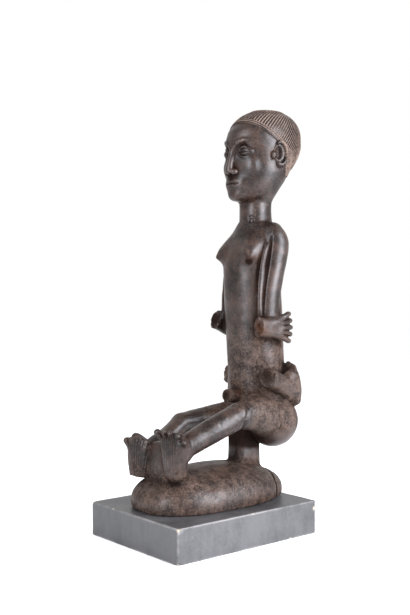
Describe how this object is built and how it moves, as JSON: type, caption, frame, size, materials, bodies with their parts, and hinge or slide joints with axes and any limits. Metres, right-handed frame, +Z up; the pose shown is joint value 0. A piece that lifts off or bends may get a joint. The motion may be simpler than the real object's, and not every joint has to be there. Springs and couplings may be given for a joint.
{
  "type": "carved seated wooden figure on plinth",
  "caption": "Carved wooden figure of a seated woman with broken smaller limbs round her waist, on an oval mound and a low black rectangular plinth.",
  "frame": {"origin": "middle of the plinth's underside", "axes": "+Z up, the figure faces -Y, +X is the figure's left"},
  "size_m": [0.16, 0.2445, 0.494],
  "materials": {
    "carved_wood": "dark brown patinated satin",
    "black_paint": "worn black painted satin"
  },
  "bodies": {
    "root": {"figure": "carved_wood", "plinth": "black_paint"}
  },
  "joints": []
}
